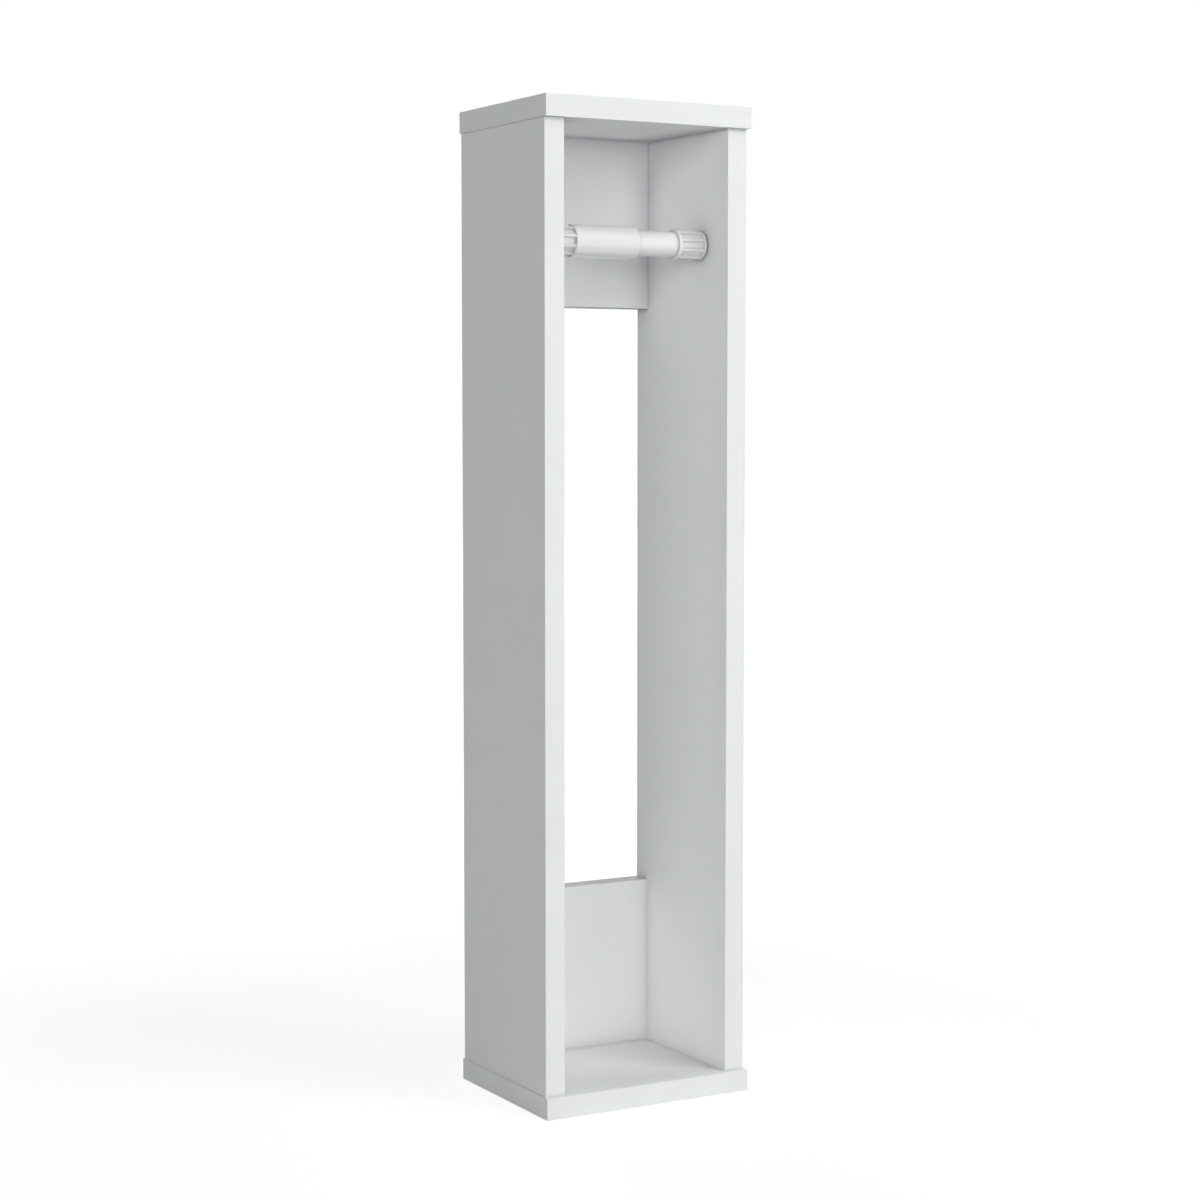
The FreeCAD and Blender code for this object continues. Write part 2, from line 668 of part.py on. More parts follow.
def make_barrel():
    """The outer half of the roller, held by the left side."""
    rest = Rotation(Vector(1, 0, 0), size("roller_rest_angle"))
    body = new_body("roller_barrel", ("-inner_width / 2", "pivot_y", "pivot_z"), rest)
    outer, bore, lip = "barrel_diameter / 2", "barrel_bore / 2", "lip_bore / 2"
    lip_back = "barrel_mouth - mouth_lip_length"
    revolve(body, "barrel_turning", "XY_Plane", "X_Axis", ribbed_end([
        ("rib_end", "plunger_diameter / 2"), ("rib_end", outer), ("barrel_mouth", outer),
        ("barrel_mouth", lip), (lip_back, lip), (lip_back, bore), ("seat", bore)]))
    ribs = add_ribs(body, "barrel", "rib_end")
    round_edges(body, "barrel_mouth_rounding", "PartDesign::Fillet", ribs, "Radius",
                "barrel_mouth_radius", circle_at(size(outer), "x", size("barrel_mouth")))
    return body


def make_plunger():
    """The inner half of the roller, held by the right side, with its bead behind the barrel's lip."""
    rest = Rotation(Vector(1, 0, 0), size("roller_rest_angle"))
    turned_round = rest.multiply(Rotation(Vector(0, 1, 0), 180))
    body = new_body("roller_plunger", ("inner_width / 2", "pivot_y", "pivot_z"), turned_round)
    tube, bead, flange = "plunger_diameter / 2", "bead_diameter / 2", "flange_diameter / 2"
    bead_back = "plunger_end - bead_length"
    revolve(body, "plunger_turning", "XY_Plane", "X_Axis", ribbed_end([
        ("flange_start", tube), ("flange_start", flange), ("rib_end", flange), ("rib_end", tube),
        (bead_back, tube), (bead_back, bead), ("plunger_end - bead_lead", bead),
        ("plunger_end", f"{bead} - bead_lead"), ("plunger_end", "plunger_bore / 2"),
        ("seat", "plunger_bore / 2")]))
    add_ribs(body, "plunger", "flange_start")
    return body


def arc_between(start, tangent, end):
    """The circular arc from start to end that leaves along tangent."""
    chord = end - start
    along = Vector(chord).normalize()
    bulge = tangent - along * tangent.dot(along)
    angle = tangent.getAngle(along)
    bulge.normalize()
    middle = (start + end) * 0.5 + bulge * (chord.Length / 2 * math.tan(angle / 2))
    return Part.Arc(start, middle, end).toShape()


def make_spring():
    """The roller's coil spring, with its end turns drawn close, as biarcs of half a turn."""
    wire, turns, end_pitch = size("spring_wire"), int(size("spring_turns")), size("spring_end_pitch")
    radius = size("plunger_bore / 2 - spring_clearance - spring_wire / 2")
    length = size("inner_width - 2 * (seat)") - wire
    pitch = (length - 2 * end_pitch) / (turns - 2)
    steps = 2

    def climb_after(turn):
        """How far the wire climbs in one turn, at a number of turns: the mean where its pitch changes."""
        if turn < 1 or turn > turns - 1:
            return end_pitch
        return (end_pitch + pitch) / 2 if turn in (1, turns - 1) else pitch

    def coil_point(turn):
        """A point of the wire's axis and its direction, after a number of turns."""
        low, high = min(turn, 1.0), max(turn - (turns - 1), 0.0)
        x = end_pitch * (low + high) + pitch * (turn - low - high)
        angle = math.tau * turn
        around = Vector(0, math.cos(angle), math.sin(angle))
        along = Vector(climb_after(turn) / math.tau, -radius * math.sin(angle), radius * math.cos(angle))
        return Vector(x, 0, 0) + around * radius, along.normalize()

    edges = []
    knots = [coil_point(k / steps) for k in range(turns * steps + 1)]
    for (start, leave), (end, arrive) in zip(knots, knots[1:]):
        span = end - start
        square = 2 * (1 - leave.dot(arrive))
        linear = 2 * span.dot(leave + arrive)
        reach = (math.sqrt(linear ** 2 + 4 * square * span.dot(span)) - linear) / (2 * square)
        joint = (start + end + (leave - arrive) * reach) * 0.5
        middle_way = (end - start - (leave + arrive) * reach).normalize()
        edges.append(arc_between(start, leave, joint))
        edges.append(arc_between(joint, middle_way, end))
    sweep = Part.BRepOffsetAPI.MakePipeShell(Part.Wire(edges))
    start, leave = knots[0]
    sweep.add(Part.Wire(Part.makeCircle(wire / 2, start, leave)))
    sweep.build()
    sweep.makeSolid()
    spring = doc.addObject("Part::Feature", "roller_spring")
    spring.Label = "roller_spring"
    spring.Shape = sweep.shape()
    left = size("seat - inner_width / 2") + wire / 2
    spring.Placement = Placement(Vector(left, size("pivot_y"), size("pivot_z")), Rotation())
    axis = [coil_point(k / (4 * steps))[0] for k in range(4 * steps * turns + 1)]
    lap = 2 * steps
    gaps = [(p - q).Length for k, p in enumerate(axis) for q in axis[k + lap:]]
    print(f"spring: {turns} turns, least gap to itself {min(gaps) - wire:.2f} mm")
    return spring


def make_nodes():
    """Every sub-part that has a file of its own."""
    carcass = [make_top_panel(), make_base_panel(), make_side_panel("left_side_panel", -1),
               make_side_panel("right_side_panel", 1), make_upper_rail(), make_lower_rail()]
    bands = [make_board_bands("top_edge_bands", "ceiling"), make_board_bands("base_edge_bands", "0"),
             make_side_bands("left_side_edge_bands", "-inner_width / 2 - board_thickness"),
             make_side_bands("right_side_edge_bands", "inner_width / 2"),
             make_rail_band("upper_rail_edge_band", "ceiling - rail_height", False),
             make_rail_band("lower_rail_edge_band", "board_thickness + rail_height - band_thickness", True)]
    return carcass + bands + make_fasteners() + [make_barrel(), make_plunger(), make_spring()]


def check(nodes):
    """Stops on a failed object, a broken shape or a cut that removed nothing."""
    for item in doc.Objects:
        if {"Invalid", "Error"} & set(item.State):
            raise RuntimeError(f"{item.Label} failed: {item.State}")
        if item.TypeId in ("PartDesign::Pocket", "PartDesign::Groove"):
            if item.Shape.Volume > item.BaseFeature.Shape.Volume - MATCH:
                raise RuntimeError(f"{item.Label} cut nothing")
    for node in nodes:
        if node.Shape.isNull() or not node.Shape.isValid() or not node.Shape.Solids:
            raise RuntimeError(f"{node.Label} has no sound shape")


nodes = make_nodes()
doc.recompute()
check(nodes)
os.makedirs("parts", exist_ok=True)
whole = FreeCAD.BoundBox()
for node in nodes:
    node.Shape.exportStep(os.path.join("parts", f"{node.Label}.step"))
    whole.add(node.Shape.BoundBox)
    print(f"{node.Label}: {len(node.Shape.Solids)} solids, {node.Shape.Volume:.0f} mm3")
print(f"whole: {whole.XLength:.2f} x {whole.YLength:.2f} x {whole.ZLength:.2f} mm from z = {whole.ZMin:.2f}")
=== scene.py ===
"""Looks of the open toilet paper stand, around its CAD frame.

Finishes for every piece, a finer spring in the roller, the floor, the light and the camera.
"""

import math

import bpy
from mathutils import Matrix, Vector


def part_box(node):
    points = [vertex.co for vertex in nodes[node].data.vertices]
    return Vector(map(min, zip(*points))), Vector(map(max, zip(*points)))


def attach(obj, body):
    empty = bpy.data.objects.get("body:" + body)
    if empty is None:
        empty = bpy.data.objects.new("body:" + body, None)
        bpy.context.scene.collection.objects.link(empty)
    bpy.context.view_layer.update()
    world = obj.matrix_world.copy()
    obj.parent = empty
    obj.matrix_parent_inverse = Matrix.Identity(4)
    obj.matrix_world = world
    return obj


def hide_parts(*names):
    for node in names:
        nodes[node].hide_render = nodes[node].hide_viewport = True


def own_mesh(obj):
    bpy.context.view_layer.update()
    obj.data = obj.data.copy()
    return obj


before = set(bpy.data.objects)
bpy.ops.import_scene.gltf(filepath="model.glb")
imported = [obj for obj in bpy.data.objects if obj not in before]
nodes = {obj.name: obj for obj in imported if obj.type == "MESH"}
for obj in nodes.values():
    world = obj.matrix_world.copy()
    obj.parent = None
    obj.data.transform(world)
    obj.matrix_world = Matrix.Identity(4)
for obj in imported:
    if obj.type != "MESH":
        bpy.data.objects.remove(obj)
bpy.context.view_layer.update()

# Lengths below are in metres, angles in degrees and colours linear, unless a comment says otherwise.
X, Y, Z = 0, 1, 2

# The camera of the photograph: focal length in pixels of a frame 1200 wide, sensor in millimetres.
FRAME_WIDTH = 1200
FOCAL_PIXELS = 2540.5
SENSOR_WIDTH = 36.0
CAMERA_AZIMUTH = -29.644
CAMERA_ELEVATION = 4.192
CAMERA_DISTANCE = 1.80513
CAMERA_TARGET = (-0.00341, 0.0, 0.35038)

# The soft boxes, which face the stand's axis. Each has its azimuth, its distance, its height, the height
# that it is aimed at, its own width and height, and its watts.
# The far boxes light the stand and the floor, and the top box the stand alone. None of these shows in gloss.
# The strip stands near on the right, adds a little light and shows as a bright band along the roller.
# A second lamp in the same place adds to that band only.
STAND_AIM = 0.35
FAR_BOXES = (
    (-60, 8.0, 0.9, STAND_AIM, 4.6, 1.6, 59.0),
    (-30, 8.0, 0.9, STAND_AIM, 4.6, 1.6, 58.0),
    (0, 8.0, 0.9, STAND_AIM, 4.6, 1.6, 46.0),
    (-30, 8.0, 2.2, STAND_AIM, 4.6, 3.2, 174.0),
    (30, 8.0, 4.8, STAND_AIM, 4.6, 3.2, 152.0),
    (30, 4.6, 7.0, STAND_AIM, 3.0, 3.0, 82.0),
    (172, 8.0, 1.2, STAND_AIM, 3.0, 2.0, 240.0),
)
TOP_BOX = (0, 0.09, 8.0, STAND_AIM, 0.32, 0.32, 170.0)
STRIP_BOX = (34, 1.08, 0.70, 0.70, 0.40, 1.37)
STRIP_WATTS = 1.7
STRIP_GLOSS_WATTS = 2.8

# The floor and the backdrop. The floor's glow rises from its level near the stand to white further out.
FLOOR_HALF = 40.0
FLOOR_DROP = 0.0002
FLOOR_SHADE = (0.82, 0.82, 0.82, 1.0)
SHADOW_SHADE = (0.4, 0.4, 0.4, 1.0)
GLOW_REACH = (0.4, 1.2)
GLOW_LEVELS = (0.84, 1.0)
BACKDROP_WHITE = (1.0, 1.0, 1.0, 1.0)

# Colours of the finishes. A band has its deep, light and rubbed tones.
WHITE_DECOR = (0.952, 0.953, 0.955, 1.0)
WHITE_DECOR_DEEP = (0.920, 0.922, 0.925, 1.0)
# Painted shade: the grey that corners and joints are darkened towards.
CORNER_PAINTED_SHADE = (0.58, 0.585, 0.59, 1.0)
CHIP_LIGHT = (0.50, 0.36, 0.22, 1.0)
CHIP_DARK = (0.26, 0.17, 0.09, 1.0)
WHITE_BAND = ((0.925, 0.927, 0.930, 1.0), (0.950, 0.951, 0.953, 1.0), (0.96, 0.96, 0.96, 1.0))
# Painted shade: the upper rail's under edge band is grey, for the shadow under that rail.
UNDER_EDGE_PAINTED_SHADE = ((0.31, 0.312, 0.315, 1.0), (0.36, 0.362, 0.365, 1.0), (0.42, 0.422, 0.425, 1.0))
PLASTIC_WHITE = (0.875, 0.877, 0.88, 1.0)
PLASTIC_DEEP = (0.85, 0.853, 0.857, 1.0)
PLASTIC_SCUFF = (0.80, 0.804, 0.81, 1.0)
BEECH_LIGHT = (0.60, 0.41, 0.24, 1.0)
BEECH_DARK = (0.43, 0.27, 0.14, 1.0)
BEECH_FLECK = (0.28, 0.16, 0.08, 1.0)
ZINC_LIGHT = (0.60, 0.61, 0.62, 1.0)
ZINC_DARK = (0.40, 0.41, 0.42, 1.0)
PLATED_LIGHT = (0.62, 0.62, 0.60, 1.0)
PLATED_WARM = (0.58, 0.53, 0.42, 1.0)
WIRE_LIGHT = (0.50, 0.50, 0.51, 1.0)
WIRE_DARK = (0.28, 0.28, 0.29, 1.0)

# Limits between which a noise or a mix of noises goes from its low to its high end.
NOISE_LIMITS = (0.3, 0.7)
PATCH_LIMITS = (0.35, 0.65)
TONE_LIMITS = (0.36, 0.64)

# Edges, corners and faces, as the finishes find them.
EDGE_SAMPLES = 4
EDGE_LIMITS = (0.995, 0.90)
CORNER_SAMPLES = 16
CORNER_GAIN = 2.0
CORNER_FALL = 1.5
FACE_SKIN = 0.0004
FACE_TURN = 0.6

# Painted shade in the corners, standing in for the shade that falls there: how far it reaches and how
# strong it is. A pair is the amount at the two shade levels, near the foot and near the head of the stand.
# Close under the top, the bay's painted shade on the upright boards fades out.
SHADE_LEVELS = (0.1, 0.6)
UNDER_TOP_LEVELS = (0.645, 0.68)
UNDER_TOP_SHARES = (1.0, 0.0)
BAY_REACH = 0.032
BAY_PAINTED_SHADE = (0.24, 0.78)
TOP_PAINTED_SHADE = (1.4, 1.4)
BASE_PAINTED_SHADE = (0.0, 0.0)
LINE_REACH = 0.010
LINE_PAINTED_SHADE = (0.36, 0.1)
JOINT_REACH = 0.003
SIDE_JOINT_PAINTED_SHADE = (0.02, 0.95)
BOARD_JOINT_PAINTED_SHADE = (0.3, 0.3)
BAND_PAINTED_SHADE = 0.5
BASE_BAND_PAINTED_SHADE = 0.08
RIB_REACH = 0.006
RIB_PAINTED_SHADE = 0.7

# A grain is the scale, the detail and the roughness of its noise. A depth is that of the grain's relief.
# Melamine on chipboard.
PEARL_GRAIN = (900.0, 3.0, 0.6)
MOTTLE_GRAIN = (16.0, 3.0, 0.5)
HANDLED_GRAIN = (38.0, 4.0, 0.6)
PEARL_SHARE = 0.6
CHIP_STRETCH = (0.7, 1.0, 1.3)
CHIP_SCALE = 620.0
BOARD_ROUGH = (0.40, 0.50)
CORE_ROUGH_ADDED = 0.4
BOARD_DEPTH = 0.00003

# Edge bands.
STREAK_GRAIN = (700.0, 2.0, 0.5)
BAND_MOTTLE_GRAIN = (24.0, 3.0, 0.5)
STREAK_SHARE = 0.5
UPRIGHT_RUN = (1.0, 1.0, 0.06)
LEVEL_RUN = (0.06, 0.06, 1.0)
BAND_EDGE = 0.0006
BAND_WEAR = 0.5
BAND_GLOSS = 0.3
BAND_ROUGH = (0.34, 0.44)
BAND_DEPTH = 0.00001

# Moulded plastic of the roller.
SKIN_GRAIN = (1600.0, 2.0, 0.5)
FLOW_GRAIN = (140.0, 3.0, 0.5)
FLOW_STRETCH = (0.15, 1.0, 1.0)
RING_GRAIN = (900.0, 2.0, 0.5)
RING_STRETCH = (1.0, 0.04, 0.04)
RING_LIMITS = (0.62, 0.74)
SCUFF_LIMITS = (0.45, 0.6)
SCUFF_SHARE = 0.35
SCUFF_ROUGH_ADDED = 0.05
PLASTIC_GLOSS = 0.6
PLASTIC_ROUGH = (0.10, 0.14)
PLASTIC_DEPTH = 0.000005

# Beech dowels.
BEECH_GRAIN = (420.0, 4.0, 0.6)
BEECH_UPRIGHT = (1.0, 1.0, 0.08)
BEECH_LEVEL = (0.08, 1.0, 1.0)
FLECK_SCALE = 520.0
FLECK_LIMITS = (0.22, 0.12)
FLECK_SHARE = 0.6
BEECH_ROUGH = (0.55, 0.72)
BEECH_DEPTH = 0.00006

# Metals. Each has its light and dark tones, the scale of its grain, its roughness from dark to light, and
# its depth.
ZINC_CAST = (ZINC_LIGHT, ZINC_DARK, 1500.0, (0.50, 0.32), 0.00004)
STEEL_PLATED = (PLATED_LIGHT, PLATED_WARM, 2200.0, (0.36, 0.22), 0.00001)
SPRING_WIRE = (WIRE_LIGHT, WIRE_DARK, 2600.0, (0.40, 0.24), 0.00001)
METAL_NOISE = (4.0, 0.65)
CLOUD_NOISE = (3.0, 0.5)
CLOUD_SCALE = 0.12
GRAIN_SHARE = 0.5
# Painted shade in the corners of the metal parts: how far it reaches and how strong it is.
METAL_SHADE_REACH = 0.002
METAL_PAINTED_SHADE = 0.6
METAL_EDGE = 0.00025
RUBBED_SHARE = 0.5
RUBBED_POLISH = 0.1

# The roller's spring: a coil of round wire with closed ends, whose pitch is in thicknesses of the wire.
COIL_TURNS = 12.0
CLOSED_TURNS = 1.0
CLOSED_PITCH = 1.05
COIL_WIRE = 0.0012
COIL_STEPS = 36
WIRE_SIDES = 12


def add_object(name, data):
    """A new object in the scene."""
    made = bpy.data.objects.new(name, data)
    bpy.context.scene.collection.objects.link(made)
    return made


def bare_tree(holder):
    """The node tree of a material or a world, emptied."""
    holder.use_nodes = True
    holder.node_tree.nodes.clear()
    return holder.node_tree


def add_node(tree, kind, inputs=None, **settings):
    """One node with its settings, and its inputs set to a value or linked to a socket."""
    made = tree.nodes.new(kind)
    for name, value in settings.items():
        setattr(made, name, value)
    for name, value in (inputs or {}).items():
        if isinstance(value, bpy.types.NodeSocket):
            tree.links.new(value, made.inputs[name])
        else:
            made.inputs[name].default_value = value
    return made


def maths(tree, operation, first, second=0.0, clamp=False):
    """The result of one operation on two values."""
    inputs = {0: first, 1: second}
    return add_node(tree, "ShaderNodeMath", inputs, operation=operation, use_clamp=clamp).outputs[0]


def product(tree, first, second):
    """The first value times the second."""
    return maths(tree, "MULTIPLY", first, second)


def mixed(tree, share, first, second):
    """The share of the first value, and the second for the rest."""
    return maths(tree, "ADD", product(tree, first, share), product(tree, second, 1.0 - share))


def blend_colours(tree, share, first, second):
    """The first colour, gone over to the second by the share."""
    inputs = {0: share, 6: first, 7: second}
    return add_node(tree, "ShaderNodeMix", inputs, data_type="RGBA").outputs[2]


def spread(tree, value, limits, ends=(0.0, 1.0)):
    """The value taken from between the limits to between the ends, and held at them."""
    inputs = {"Value": value, "From Min": limits[0], "From Max": limits[1],
              "To Min": ends[0], "To Max": ends[1]}
    return add_node(tree, "ShaderNodeMapRange", inputs).outputs[0]


def coordinate(tree, place, axis):
    """One coordinate of a place or a direction."""
    return add_node(tree, "ShaderNodeSeparateXYZ", {0: place}).outputs[axis]


def stretched(tree, place, scale):
    """The place scaled along each axis, which draws a grain out where the scale is small."""
    return add_node(tree, "ShaderNodeMapping", {"Vector": place, "Scale": scale}).outputs[0]


def noise(tree, place, grain):
    """The noise of a grain, from 0 to 1."""
    scale, detail, roughness = grain
    inputs = {"Vector": place, "Scale": scale, "Detail": detail, "Roughness": roughness}
    return add_node(tree, "ShaderNodeTexNoise", inputs).outputs[0]


def cells(tree, place, scale, output):
    """The named output of a pattern of cells."""
    return add_node(tree, "ShaderNodeTexVoronoi", {"Vector": place, "Scale": scale}).outputs[output]


def bump(tree, height, depth):
    """A normal that follows a height from 0 to 1, depth metres deep."""
    inputs = {"Height": height, "Distance": depth, "Strength": 1.0}
    return add_node(tree, "ShaderNodeBump", inputs).outputs[0]


def edge_share(tree, radius):
    """1 on the sharp edges of a piece and 0 on its flats."""
    soft = add_node(tree, "ShaderNodeBevel", {"Radius": radius}, samples=EDGE_SAMPLES).outputs[0]
    sharp = add_node(tree, "ShaderNodeNewGeometry").outputs["Normal"]
    inputs = {0: soft, 1: sharp}
    along = add_node(tree, "ShaderNodeVectorMath", inputs, operation="DOT_PRODUCT").outputs["Value"]
    return spread(tree, along, EDGE_LIMITS)


def corner_share(tree, reach):
    """1 in the angle of two faces and 0 in the open, falling off over the reach."""
    inputs = {"Distance": reach}
    occlusion = add_node(tree, "ShaderNodeAmbientOcclusion", inputs, samples=CORNER_SAMPLES)
    hidden = maths(tree, "SUBTRACT", 1.0, occlusion.outputs["AO"])
    closed = maths(tree, "MULTIPLY", hidden, CORNER_GAIN, clamp=True)
    return maths(tree, "POWER", closed, CORNER_FALL)


def paint_corner_shade(tree, colour, reach, amount):
    """The colour with painted shade in its corners, up to the amount deep inside them."""
    share = product(tree, corner_share(tree, reach), amount)
    return blend_colours(tree, share, colour, CORNER_PAINTED_SHADE)


def by_height(tree, place, amounts):
    """The first amount near the foot of the stand, the second near its head, and evenly between them."""
    return spread(tree, coordinate(tree, place, Z), SHADE_LEVELS, amounts)


def new_finish(name):
    """A material with one Principled shader, returned with its tree, the shader and the object's places."""
    finish = bpy.data.materials.new(name)
    tree = bare_tree(finish)
    shader = add_node(tree, "ShaderNodeBsdfPrincipled")
    add_node(tree, "ShaderNodeOutputMaterial", {"Surface": shader.outputs[0]})
    place = add_node(tree, "ShaderNodeTexCoord").outputs["Object"]
    return finish, tree, shader, place


def feed(tree, shader, colour, rough, normal):
    """Links the colour, the roughness and the normal to the shader."""
    tree.links.new(colour, shader.inputs["Base Color"])
    tree.links.new(rough, shader.inputs["Roughness"])
    tree.links.new(normal, shader.inputs["Normal"])


def middle_of(board, axis):
    """The middle of a board's thickness, taken without its side, and half of that thickness."""
    low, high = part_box(board)
    return abs(low[axis] + high[axis]) / 2, (high[axis] - low[axis]) / 2


def core_share(tree, place, axis, middle, half):
    """1 where a board is drilled or sawn and shows its chipboard, and 0 on its two laminated faces."""
    facing = add_node(tree, "ShaderNodeTexCoord").outputs["Normal"]
    across = maths(tree, "ABSOLUTE", coordinate(tree, place, axis))
    off_middle = maths(tree, "ABSOLUTE", maths(tree, "SUBTRACT", across, middle))
    on_face = maths(tree, "GREATER_THAN", off_middle, half - FACE_SKIN)
    turned = maths(tree, "ABSOLUTE", coordinate(tree, facing, axis))
    flat = maths(tree, "GREATER_THAN", turned, FACE_TURN)
    return maths(tree, "SUBTRACT", 1.0, product(tree, on_face, flat))


def with_painted_shade(tree, place, decor, corner_shade, joint_shade, axis, middle):
    """A board's decor with painted shade in the corners of the bay, in a line along them and at the joints.
    """
    bay = by_height(tree, place, corner_shade)
    line = by_height(tree, place, LINE_PAINTED_SHADE)
    if axis != Z:
        height = coordinate(tree, place, Z)
        bay = product(tree, bay, spread(tree, height, UNDER_TOP_LEVELS, UNDER_TOP_SHARES))
    if axis == X:
        across = maths(tree, "ABSOLUTE", coordinate(tree, place, X))
        line = product(tree, line, maths(tree, "LESS_THAN", across, middle))
    # Painted shade in the bay's corners, in a line along them and at the joints.
    decor = paint_corner_shade(tree, decor, BAY_REACH, bay)
    decor = paint_corner_shade(tree, decor, LINE_REACH, line)
    return paint_corner_shade(tree, decor, JOINT_REACH, by_height(tree, place, joint_shade))


def melamine(name, corner_shade, joint_shade, board, axis):
    """White melamine on chipboard: a fine pearl grain, soft handling marks, and painted shade in the
    corners.
    """
    finish, tree, shader, place = new_finish(name)
    middle, half = middle_of(board, axis)
    pearl = noise(tree, place, PEARL_GRAIN)
    tone = mixed(tree, PEARL_SHARE, pearl, noise(tree, place, MOTTLE_GRAIN))
    decor = blend_colours(tree, spread(tree, tone, TONE_LIMITS), WHITE_DECOR_DEEP, WHITE_DECOR)
    decor = with_painted_shade(tree, place, decor, corner_shade, joint_shade, axis, middle)
    chips = cells(tree, stretched(tree, place, CHIP_STRETCH), CHIP_SCALE, "Color")
    chip = add_node(tree, "ShaderNodeSeparateColor", {0: chips}).outputs[0]
    core = blend_colours(tree, chip, CHIP_DARK, CHIP_LIGHT)
    bare = core_share(tree, place, axis, middle, half)
    colour = blend_colours(tree, bare, decor, core)
    handled = spread(tree, noise(tree, place, HANDLED_GRAIN), NOISE_LIMITS, BOARD_ROUGH)
    rough = maths(tree, "ADD", handled, product(tree, bare, CORE_ROUGH_ADDED))
    grain = blend_colours(tree, bare, pearl, chip)
    feed(tree, shader, colour, rough, bump(tree, grain, BOARD_DEPTH))
    return finish


def band(name, corner_shade, run, tones):
    """Edge band: smoother than the board, faintly streaked along its run, rubbed at its corners."""
    finish, tree, shader, place = new_finish(name)
    shader.inputs["Specular IOR Level"].default_value = BAND_GLOSS
    deep, light, rubbed = tones
    streaks = noise(tree, stretched(tree, place, run), STREAK_GRAIN)
    mottle = noise(tree, place, BAND_MOTTLE_GRAIN)
    tone = mixed(tree, STREAK_SHARE, streaks, mottle)
    decor = blend_colours(tree, spread(tree, tone, TONE_LIMITS), deep, light)
    worn = product(tree, edge_share(tree, BAND_EDGE), spread(tree, mottle, PATCH_LIMITS))
    decor = blend_colours(tree, product(tree, worn, BAND_WEAR), decor, rubbed)
    # Painted shade in the corners of the bay and at the joints.
    decor = paint_corner_shade(tree, decor, BAY_REACH, corner_shade)
    decor = paint_corner_shade(tree, decor, JOINT_REACH, corner_shade)
    rough = spread(tree, tone, NOISE_LIMITS, BAND_ROUGH)
    feed(tree, shader, decor, rough, bump(tree, streaks, BAND_DEPTH))
    return finish


def moulded(name):
    """White moulded plastic: a gloss skin, faint flow marks along it and rings rubbed by paper cores."""
    finish, tree, shader, place = new_finish(name)
    shader.inputs["Specular IOR Level"].default_value = PLASTIC_GLOSS
    skin = noise(tree, place, SKIN_GRAIN)
    flow = noise(tree, stretched(tree, place, FLOW_STRETCH), FLOW_GRAIN)
    rings = noise(tree, stretched(tree, place, RING_STRETCH), RING_GRAIN)
    tone = blend_colours(tree, spread(tree, flow, PATCH_LIMITS), PLASTIC_DEEP, PLASTIC_WHITE)
    scuffed = product(tree, spread(tree, rings, RING_LIMITS), spread(tree, flow, SCUFF_LIMITS))
    tone = blend_colours(tree, product(tree, scuffed, SCUFF_SHARE), tone, PLASTIC_SCUFF)
    # Painted shade in the grooves between the ribs.
    tone = paint_corner_shade(tree, tone, RIB_REACH, RIB_PAINTED_SHADE)
    smooth = spread(tree, flow, NOISE_LIMITS, PLASTIC_ROUGH)
    rough = maths(tree, "ADD", smooth, product(tree, scuffed, SCUFF_ROUGH_ADDED))
    feed(tree, shader, tone, rough, bump(tree, skin, PLASTIC_DEPTH))
    return finish


def beech(name, stretch):
    """Beech dowel: pale straight grain with short dark flecks, drawn out along the dowel."""
    finish, tree, shader, place = new_finish(name)
    along = stretched(tree, place, stretch)
    grain = noise(tree, along, BEECH_GRAIN)
    wood = blend_colours(tree, spread(tree, grain, NOISE_LIMITS), BEECH_DARK, BEECH_LIGHT)
    fleck = spread(tree, cells(tree, along, FLECK_SCALE, "Distance"), FLECK_LIMITS)
    wood = blend_colours(tree, product(tree, fleck, FLECK_SHARE), wood, BEECH_FLECK)
    rough = spread(tree, grain, NOISE_LIMITS, BEECH_ROUGH)
    feed(tree, shader, wood, rough, bump(tree, grain, BEECH_DEPTH))
    return finish


def metal(name, light, dark, scale, roughness, depth):
    """Metal with a grain of two tones that its roughness follows, painted shade in its corners and bright
    rubbed edges.
    """
    finish, tree, shader, place = new_finish(name)
    shader.inputs["Metallic"].default_value = 1.0
    grain = noise(tree, place, (scale, *METAL_NOISE))
    cloud = noise(tree, place, (scale * CLOUD_SCALE, *CLOUD_NOISE))
    tone = mixed(tree, GRAIN_SHARE, grain, cloud)
    colour = blend_colours(tree, spread(tree, tone, PATCH_LIMITS), dark, light)
    # Painted shade: the metal goes towards its dark tone in its corners.
    shaded_corners = product(tree, corner_share(tree, METAL_SHADE_REACH), METAL_PAINTED_SHADE)
    colour = blend_colours(tree, shaded_corners, colour, dark)
    rubbed = edge_share(tree, METAL_EDGE)
    colour = blend_colours(tree, product(tree, rubbed, RUBBED_SHARE), colour, light)
    rough = spread(tree, tone, NOISE_LIMITS, roughness)
    rough = maths(tree, "SUBTRACT", rough, product(tree, rubbed, RUBBED_POLISH))
    feed(tree, shader, colour, rough, bump(tree, grain, depth))
    return finish


def dress(finish, *names):
    """Gives the finish to the named pieces."""
    for name in names:
        materials = nodes[name].data.materials
        materials.clear()
        materials.append(finish)


